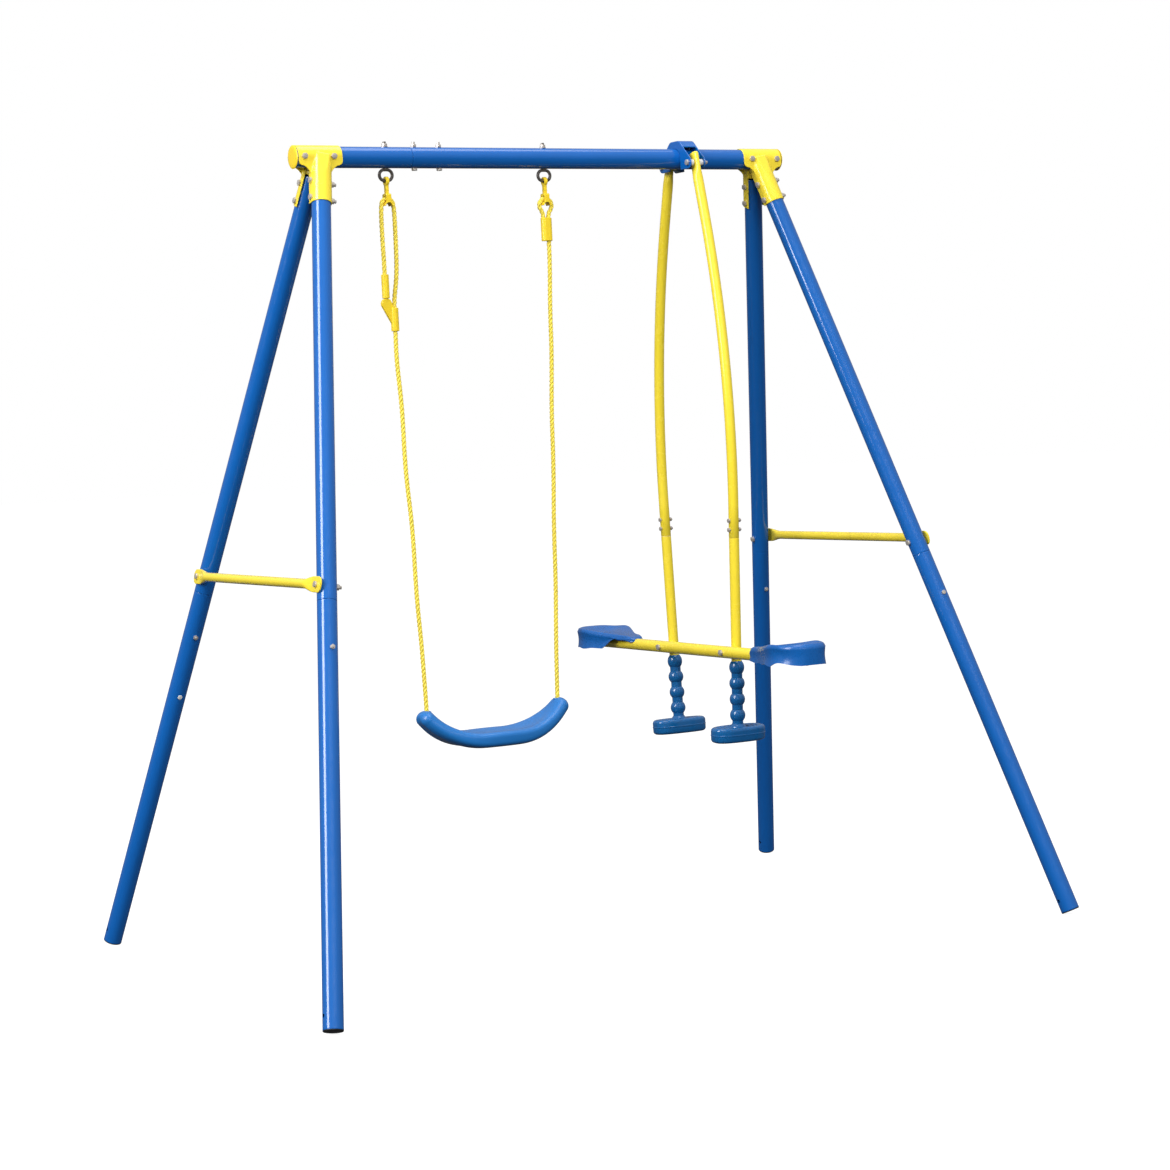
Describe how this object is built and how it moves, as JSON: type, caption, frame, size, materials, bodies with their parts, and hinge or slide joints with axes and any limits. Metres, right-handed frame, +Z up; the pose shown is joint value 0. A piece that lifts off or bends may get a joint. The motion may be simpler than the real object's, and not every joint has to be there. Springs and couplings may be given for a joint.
{
  "type": "garden swing set",
  "caption": "A-frame garden swing set with a belt seat on ropes and a face-to-face glider on rigid hangers.",
  "frame": {"origin": "on the ground under the middle of the top beam", "axes": "+X along the beam towards the glider, +Y to the back, +Z up"},
  "size_m": [2.0108, 1.3966, 1.944],
  "materials": {
    "blue_enamel": "glossy powder coat on steel tube",
    "yellow_enamel": "glossy powder coat on steel",
    "zinc_steel": "bright zinc plate",
    "dark_steel": "dark passivated wire and bolts",
    "black_plastic": "moulded, matte",
    "white_plastic": "moulded",
    "yellow_plastic": "moulded, glossy",
    "yellow_rope": "laid three-strand polypropylene rope",
    "blue_plastic": "blow-moulded, glossy"
  },
  "bodies": {
    "frame": {"beam_end_cap_left": "yellow_plastic", "beam_end_cap_right": "yellow_plastic", "beam_joint_bolts": "zinc_steel", "beam_long_section": "blue_enamel", "beam_short_section": "blue_enamel", "bracket_back_left": "yellow_enamel", "bracket_back_right": "yellow_enamel", "bracket_beam_bolts": "zinc_steel", "bracket_front_left": "yellow_enamel", "bracket_front_right": "yellow_enamel", "crossbar_bolts": "zinc_steel", "crossbar_left": "yellow_enamel", "crossbar_right": "yellow_enamel", "eye_bolt_left": "dark_steel", "eye_bolt_nuts": "zinc_steel", "eye_bolt_right": "dark_steel", "foot_plug_back_left": "black_plastic", "foot_plug_back_right": "black_plastic", "foot_plug_front_left": "black_plastic", "foot_plug_front_right": "black_plastic", "glider_saddle": "blue_enamel", "hanger_pivot_bolts": "zinc_steel", "hanger_pivot_bushes": "white_plastic", "leg_clamp_bolts": "zinc_steel", "leg_joint_bolts": "zinc_steel", "leg_lower_back_left": "blue_enamel", "leg_lower_back_right": "blue_enamel", "leg_lower_front_left": "blue_enamel", "leg_lower_front_right": "blue_enamel", "leg_upper_back_left": "blue_enamel", "leg_upper_back_right": "blue_enamel", "leg_upper_front_left": "blue_enamel", "leg_upper_front_right": "blue_enamel", "spare_hole_plug": "white_plastic"},
    "swing_ropes": {"swing_hook_left": "yellow_plastic", "swing_hook_right": "yellow_plastic", "rope_left": "yellow_rope", "rope_right": "yellow_rope", "rope_sleeve_left": "yellow_plastic", "rope_sleeve_right": "yellow_plastic", "rope_adjuster": "yellow_plastic"},
    "swing_seat": {"swing_seat": "blue_plastic", "seat_rope_knots": "yellow_rope"},
    "glider_hanger_near": {"hanger_upper_near": "yellow_enamel", "hanger_lower_near": "yellow_enamel", "hanger_joint_bolts_near": "zinc_steel", "pedal_near": "blue_plastic"},
    "glider_hanger_far": {"hanger_upper_far": "yellow_enamel", "hanger_lower_far": "yellow_enamel", "hanger_joint_bolts_far": "zinc_steel", "pedal_far": "blue_plastic", "far_pivot_nut": "zinc_steel"},
    "glider_bar": {"glider_bar": "yellow_enamel", "bar_pivot_bolts": "zinc_steel", "bar_spacer_washers": "zinc_steel", "glider_seat_bolts": "dark_steel", "glider_seat_near": "blue_plastic", "glider_seat_far": "blue_plastic"}
  },
  "joints": [
    {"name": "swing", "type": "hinge", "parent": "frame", "child": "swing_ropes", "pos_m": [-0.222, 0, 1.84575], "axis": [1, 0, 0], "range_deg": [-55, 55]},
    {"name": "swing_seat_tilt", "type": "hinge", "parent": "swing_ropes", "child": "swing_seat", "pos_m": [-0.222, 0, 0.58], "axis": [1, 0, 0], "range_deg": [-20, 20]},
    {"name": "glider_swing", "type": "hinge", "parent": "frame", "child": "glider_hanger_near", "pos_m": [0.388, -0.062, 1.886], "axis": [1, 0, 0], "range_deg": [-20, 20]},
    {"name": "glider_far_swing", "type": "hinge", "parent": "frame", "child": "glider_hanger_far", "pos_m": [0.388, 0.062, 1.886], "axis": [1, 0, 0], "range_deg": [-20.5, 20.5]},
    {"name": "glider_bar_tilt", "type": "hinge", "parent": "glider_hanger_near", "child": "glider_bar", "pos_m": [0.388, -0.15, 0.668], "axis": [1, 0, 0], "range_deg": [-8.5, 8.5]}
  ],
  "couplings": [
    {"joint": "glider_far_swing", "follows": "glider_swing", "ratio": 1},
    {"joint": "glider_bar_tilt", "follows": "glider_swing", "ratio": -0.4125}
  ]
}
